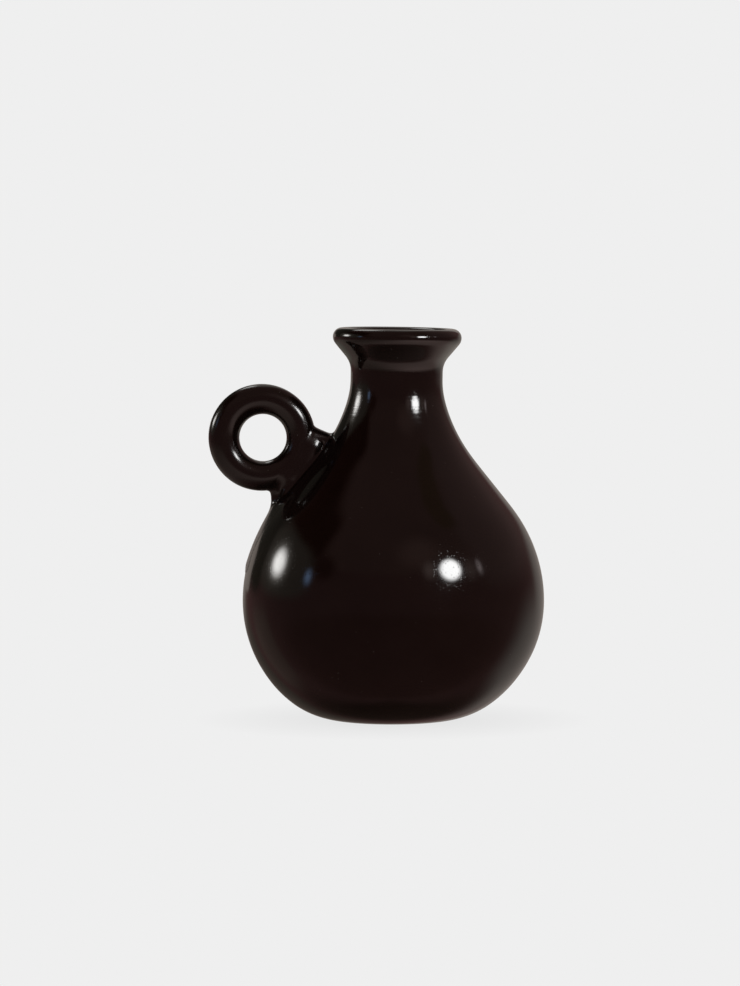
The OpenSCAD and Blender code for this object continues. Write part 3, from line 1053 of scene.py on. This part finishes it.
def pressed_saddle():
    """The wad of clay between ring and shoulder, worked smooth into both."""
    middle = np.array(RING_MIDDLE)
    low = middle + np.array(SPACE_LOW) * MM
    high = middle + np.array(SPACE_HIGH) * MM
    coarse = FINE_CELL * COARSE_CELLS * MM
    counts = np.ceil((high - low) / coarse).astype(int) + 1
    rough = saddle_solid(grid_points(low, counts, coarse)).reshape(counts)
    field = stretched(rough, COARSE_CELLS)
    fine = FINE_CELL * MM
    places = grid_points(low, field.shape, fine)
    values = field.reshape(-1)
    near = np.abs(values) < NEAR
    values[near] = saddle_solid(places[near])
    points, faces = grid_surface(values.reshape(field.shape), low, fine)
    for _ in range(MOVES):
        solid = saddle_solid(points)
        slope = slope_of(saddle_solid, points, MOVE_NUDGE)
        length = np.maximum(np.einsum("ij,ij->i", slope, slope), LEAST_SLOPE)
        move = np.clip(solid / length, -LONGEST_MOVE, LONGEST_MOVE)
        points = points - (move[:, None] * slope) * MM
    mesh = bpy.data.meshes.new("handle_saddle_clay")
    mesh.from_pydata(points.tolist(), [], faces.tolist())
    mesh.materials.append(RING_CLAY)
    mesh.shade_smooth()
    mesh.update()
    piece = bpy.data.objects.new("handle_saddle_clay", mesh)
    scene.collection.objects.link(piece)
    face_outwards(mesh)
    smooth_skin_normals(mesh)
    return piece


def smooth_skin_normals(mesh):
    """Gives the saddle's outer skin the normals of the pressed shape, so that it flows into ring and pot."""
    places, corner_vertex, corner_face, normals, _ = corner_arrays(mesh)
    skin = slope_of(lambda p: saddle_fields(p)[1], places.astype(float), NORMAL_NUDGE)
    skin /= np.maximum(np.linalg.norm(skin, axis=1), 1e-9)[:, None]
    own = normals[corner_face]
    flowing = skin[corner_vertex]
    agrees = np.einsum("ij,ij->i", own, flowing) > AGREEMENT
    mesh.normals_split_custom_set(np.where(agrees[:, None], flowing, own).tolist())


saddle = pressed_saddle()


# ---------------------------------------------------------------- slip in the seams


def leaned_slip(node):
    """A copy of a CAD bead or pad of slip that follows the pot's lean."""
    mesh = frame["nodes"][node].data.copy()
    mesh.name = node + "_clay"
    work = bmesh.new()
    work.from_mesh(mesh)
    bmesh.ops.remove_doubles(work, verts=work.verts, dist=SLIP_WELD)
    turn = frame["nodes"][node].matrix_world
    for vertex in work.verts:
        vertex.co = leaned(turn @ vertex.co)
    work.to_mesh(mesh)
    work.free()
    mesh.materials.clear()
    mesh.materials.append(SLIP)
    mesh.shade_smooth()
    piece = bpy.data.objects.new(node + "_clay", mesh)
    scene.collection.objects.link(piece)
    return piece


slips = {node: leaned_slip(node) for node in frame["nodes"] if node.endswith("_slip")}

# ---------------------------------------------------------------- every piece in the frame

pieces = {**walls, "handle_ring": ring, "handle_saddle": saddle, **slips}
for node, piece in pieces.items():
    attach(piece, "root")
    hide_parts(node)


# ---------------------------------------------------------------- camera

# Places in metres, and the height that the view takes in at the aim
CAMERA_DISTANCE = 2.084
CAMERA_HEIGHT = 0.2172
CAMERA_X = -0.0088
AIM_HEIGHT = 0.0924
VIEW_HEIGHT = 0.4012
SENSOR_HEIGHT = 24.0

camera_data = bpy.data.cameras.new("camera")
camera_data.sensor_fit = "VERTICAL"
camera_data.sensor_height = SENSOR_HEIGHT
camera = bpy.data.objects.new("camera", camera_data)
scene.collection.objects.link(camera)
camera.location = (CAMERA_X, -CAMERA_DISTANCE, CAMERA_HEIGHT)
aim = Vector((CAMERA_X, 0, AIM_HEIGHT))
camera.rotation_euler = (aim - camera.location).to_track_quat("-Z", "Y").to_euler()
camera_data.lens = SENSOR_HEIGHT * (aim - camera.location).length / VIEW_HEIGHT
camera_data.clip_end = 50
scene.camera = camera

# ---------------------------------------------------------------- studio

scene.view_settings.view_transform = "Standard"
PAPER = 0.8632

# What the studio holds round the pot, as soft patches on a sphere. Azimuth is 0 on the side towards the
# camera and grows towards the pot's right-hand side. Angles and half sizes are in degrees, and softness is
# the share of a patch that fades. Each patch covers what is before it in the list.
ROOM = (0.154, 0.080, 0.076)
STUDIO = [
    # name, azimuth, elevation, half width, half height, softness, squareness, colour
    ("upper_room", 0, 90, 400, 68, 0.07, 8, (0.180, 0.103, 0.092)),
    ("backdrop_high", 180, 30, 26, 50, 0.45, 4, (0.520, 0.470, 0.430)),
    ("warm_wall", 24, 40, 30, 17, 0.8, 2, (0.290, 0.175, 0.155)),
    ("right_wall", 112, 34, 50, 32, 0.45, 4, (0.215, 0.134, 0.124)),
    ("dim_strip", 74, 62, 17, 15, 0.5, 3, (0.135, 0.085, 0.055)),
    ("far_left", -146, 22, 30, 26, 0.3, 4, (0.045, 0.042, 0.034)),
    ("dark_curtain", -96, 39, 38, 24, 0.38, 4, (0.036, 0.012, 0.008)),
    ("curtain_foot", -60, 24, 15, 12, 0.7, 2, (0.062, 0.026, 0.022)),
    ("window_wall", -100, 17, 36, 19, 0.35, 3, (0.165, 0.145, 0.120)),
    ("window_edge", -135, 10, 9, 12, 0.4, 3, (0.050, 0.046, 0.036)),
    ("backdrop_left", -168, 2.5, 23, 5.5, 0.15, 6, (0.430, 0.370, 0.330)),
    ("backdrop_right", 172, -6, 38, 20, 0.35, 5, (0.345, 0.300, 0.272)),
    ("right_table", 142, -22, 40, 28, 0.7, 3, (0.370, 0.325, 0.295)),
    ("left_table", -126, -24, 17, 24, 0.5, 4, (0.200, 0.140, 0.120)),
    ("left_table_far", -162, -22, 22, 22, 0.5, 3, (0.110, 0.090, 0.075)),
    ("front_table", 0, -52, 115, 50, 0.22, 4, (0.122, 0.060, 0.055)),
    ("shadow_behind", 180, -62, 75, 34, 0.6, 3, (0.042, 0.028, 0.023)),
    ("key_glow_left", 30, 26, 9, 10, 1.0, 2, (0.650, 0.470, 0.430)),
    ("key_glow_right", 66, 22, 9, 10, 1.0, 2, (0.420, 0.300, 0.270)),
    ("small_lamp", 75, 22, 3.6, 6.5, 0.9, 2, (2.200, 1.850, 1.850)),
    ("key_lamp", 48, 24.5, 11.5, 9, 0.45, 2, (24.0, 24.0, 24.0)),
    ("window_glow", -107, 16.5, 18, 13, 0.9, 2, (1.4, 1.3, 1.15)),
    ("window", -107, 16.5, 11.5, 9, 0.75, 2, (12.0, 11.8, 11.5)),
    ("blue_lamp", -72, 16, 5.5, 7.5, 1.0, 2, (0.90, 1.35, 2.20)),
    ("rear_window", -160, 50, 12, 12, 0.4, 3, (3.0, 3.0, 2.9)),
]


def build_patch_group():
    """Lays one soft patch of light over the colour before it."""
    t = Tree("Soft patch", "ShaderNodeTree", [
        ("Azimuth", "NodeSocketFloat", 0.0),
        ("Elevation", "NodeSocketFloat", 0.0),
        ("Behind", "NodeSocketColor", (0, 0, 0, 1)),
        ("Centre azimuth", "NodeSocketFloat", 0.0),
        ("Centre elevation", "NodeSocketFloat", 0.0),
        ("Half width", "NodeSocketFloat", 10.0),
        ("Half height", "NodeSocketFloat", 10.0),
        ("Softness", "NodeSocketFloat", 0.5),
        ("Squareness", "NodeSocketFloat", 2.0),
        ("Colour", "NodeSocketColor", (1, 1, 1, 1)),
    ], [("Color", "NodeSocketColor")])
    turn = t.math("SUBTRACT", t["Azimuth"], t["Centre azimuth"])
    turn = t.math("WRAP", turn, 180.0, -180.0)
    across = t.math("ABSOLUTE", t.math("DIVIDE", turn, t["Half width"]))
    rise = t.math("SUBTRACT", t["Elevation"], t["Centre elevation"])
    up = t.math("ABSOLUTE", t.math("DIVIDE", rise, t["Half height"]))
    both = t.math("ADD", t.math("POWER", across, t["Squareness"]), t.math("POWER", up, t["Squareness"]))
    reach = t.math("POWER", both, t.math("DIVIDE", 1.0, t["Squareness"]))
    inside = t.node("ShaderNodeMapRange", {
        "Value": reach,
        "From Min": 1.0,
        "From Max": t.math("SUBTRACT", 1.0, t["Softness"])}, interpolation_type="SMOOTHSTEP").outputs[0]
    t.give("Color", mixed(t.tree, inside, t["Behind"], t["Colour"]))
    return t.tree


def build_studio_world():
    """The paper backdrop that the camera sees, and the studio that the burnished clay reflects."""
    world = bpy.data.worlds.new("studio")
    scene.world = world
    world.use_nodes = True
    nodes = world.node_tree.nodes
    links = world.node_tree.links
    nodes.clear()

    def math_node(operation, a, b=None):
        """The result of a Math node."""
        made = nodes.new("ShaderNodeMath")
        made.operation = operation
        feed(world.node_tree, a, made.inputs[0])
        if b is not None:
            feed(world.node_tree, b, made.inputs[1])
        return made.outputs[0]

    direction = nodes.new("ShaderNodeSeparateXYZ")
    links.new(nodes.new("ShaderNodeTexCoord").outputs["Generated"], direction.inputs[0])
    ahead = math_node("MULTIPLY", direction.outputs[1], -1.0)
    azimuth = math_node("DEGREES", math_node("ARCTAN2", direction.outputs[0], ahead))
    elevation = math_node("DEGREES", math_node("ARCSINE", direction.outputs[2]))
    patch = build_patch_group()
    base = nodes.new("ShaderNodeRGB")
    base.outputs[0].default_value = (*ROOM, 1)
    seen = base.outputs[0]
    for name, turn, rise, half_width, half_height, softness, squareness, colour in STUDIO:
        laid = placed_group(nodes, patch, {
            "Centre azimuth": turn,
            "Centre elevation": rise,
            "Half width": half_width,
            "Half height": half_height,
            "Softness": softness,
            "Squareness": squareness,
            "Colour": (*colour, 1)})
        laid.label = name
        links.new(azimuth, laid.inputs["Azimuth"])
        links.new(elevation, laid.inputs["Elevation"])
        links.new(seen, laid.inputs["Behind"])
        seen = laid.outputs[0]
    reflected = nodes.new("ShaderNodeBackground")
    links.new(seen, reflected.inputs["Color"])
    paper = nodes.new("ShaderNodeBackground")
    paper.inputs["Color"].default_value = (PAPER, PAPER, PAPER, 1)
    chosen = nodes.new("ShaderNodeMixShader")
    links.new(nodes.new("ShaderNodeLightPath").outputs["Is Camera Ray"], chosen.inputs[0])
    links.new(reflected.outputs[0], chosen.inputs[1])
    links.new(paper.outputs[0], chosen.inputs[2])
    links.new(chosen.outputs[0], nodes.new("ShaderNodeOutputWorld").inputs[0])


def disc(name, radius, height, steps=96):
    """A flat round sheet that faces up."""
    mesh = bpy.data.meshes.new(name)
    angles = [2 * math.pi * i / steps for i in range(steps)]
    points = [(radius * math.cos(a), radius * math.sin(a), height) for a in angles]
    mesh.from_pydata(points, [], [range(steps)])
    obj = bpy.data.objects.new(name, mesh)
    scene.collection.objects.link(obj)
    return obj


FLOOR_R = 8.0
CONTACT_REACH = 0.035
CONTACT_SHADE = 0.90


def paper_floor():
    """The pale floor, as evenly bright as the backdrop, with a soft shadow where the pot stands."""
    floor = disc("floor", FLOOR_R, 0.0)
    material = bpy.data.materials.new("floor_paper")
    material.use_nodes = True
    nodes = material.node_tree.nodes
    links = material.node_tree.links
    nodes.clear()
    contact = nodes.new("ShaderNodeAmbientOcclusion")
    contact.inputs["Distance"].default_value = CONTACT_REACH
    contact.samples = 12
    shade = nodes.new("ShaderNodeMapRange")
    shade.inputs["To Min"].default_value = CONTACT_SHADE
    links.new(contact.outputs["AO"], shade.inputs["Value"])
    glow = nodes.new("ShaderNodeEmission")
    glow.inputs["Color"].default_value = (PAPER, PAPER, PAPER, 1)
    links.new(shade.outputs[0], glow.inputs["Strength"])
    links.new(glow.outputs[0], nodes.new("ShaderNodeOutputMaterial").inputs[0])
    floor.data.materials.append(material)
    floor.visible_glossy = False


# The reflector, in metres: no light inside the hole, full light from there to where its edge starts to fade,
# and a brighter spot under the key lamp. Facing is 0 seen from straight above and 1 seen edge on
REFLECTOR_R = 0.80
REFLECTOR_EDGE_R = 0.6 * REFLECTOR_R
REFLECTOR_Z = 0.055
REFLECTOR_TONE = (0.125, 0.125, 0.105, 1)
REFLECTOR_SPOT = (0.24, -0.22, REFLECTOR_Z)
REFLECTOR_SPOT_R = 0.50
REFLECTOR_SPOT_TONE = (0.90, 0.68, 0.63, 1)
REFLECTOR_HOLE_R = 0.062
REFLECTOR_FULL_R = 0.105
REFLECTOR_FACING_GONE = 0.90
REFLECTOR_FACING_FULL = 0.66


def faded(nodes, links, place, centre, reach, full_at):
    """0 at reach from a centre, 1 at full_at from it, and a smooth change between them."""
    away = nodes.new("ShaderNodeVectorMath")
    away.operation = "DISTANCE"
    links.new(place, away.inputs[0])
    away.inputs[1].default_value = centre
    fade = nodes.new("ShaderNodeMapRange")
    fade.interpolation_type = "SMOOTHSTEP"
    fade.inputs["From Min"].default_value = reach
    fade.inputs["From Max"].default_value = full_at
    links.new(away.outputs["Value"], fade.inputs["Value"])
    return fade.outputs[0]


def low_reflector():
    """A pale sheet at belly height that lights the ring and the underside of the rim from below. It adds to
    what is seen past it, and fades towards the pot, at its edge and where it is seen edge on."""
    sheet = disc("low_reflector", REFLECTOR_R, REFLECTOR_Z)
    material = bpy.data.materials.new("reflector_paper")
    material.use_nodes = True
    nodes = material.node_tree.nodes
    links = material.node_tree.links
    nodes.clear()
    place = nodes.new("ShaderNodeTexCoord").outputs["Object"]
    spot = faded(nodes, links, place, REFLECTOR_SPOT, REFLECTOR_SPOT_R, 0.0)
    glow = nodes.new("ShaderNodeEmission")
    links.new(mixed(material.node_tree, spot, REFLECTOR_TONE, REFLECTOR_SPOT_TONE), glow.inputs["Color"])
    middle = (0, 0, REFLECTOR_Z)
    edge_on = nodes.new("ShaderNodeMapRange")
    edge_on.interpolation_type = "SMOOTHSTEP"
    edge_on.inputs["From Min"].default_value = REFLECTOR_FACING_GONE
    edge_on.inputs["From Max"].default_value = REFLECTOR_FACING_FULL
    links.new(nodes.new("ShaderNodeLayerWeight").outputs["Facing"], edge_on.inputs["Value"])
    strength = edge_on.outputs[0]
    for reach, full_at in ((REFLECTOR_R, REFLECTOR_EDGE_R), (REFLECTOR_HOLE_R, REFLECTOR_FULL_R)):
        dimmed = nodes.new("ShaderNodeMath")
        dimmed.operation = "MULTIPLY"
        links.new(strength, dimmed.inputs[0])
        links.new(faded(nodes, links, place, middle, reach, full_at), dimmed.inputs[1])
        strength = dimmed.outputs[0]
    links.new(strength, glow.inputs["Strength"])
    both = nodes.new("ShaderNodeAddShader")
    links.new(glow.outputs[0], both.inputs[0])
    links.new(nodes.new("ShaderNodeBsdfTransparent").outputs[0], both.inputs[1])
    links.new(both.outputs[0], nodes.new("ShaderNodeOutputMaterial").inputs[0])
    sheet.data.materials.append(material)
    sheet.visible_camera = False
    sheet.visible_diffuse = False
    sheet.visible_shadow = False


build_studio_world()
paper_floor()
low_reflector()
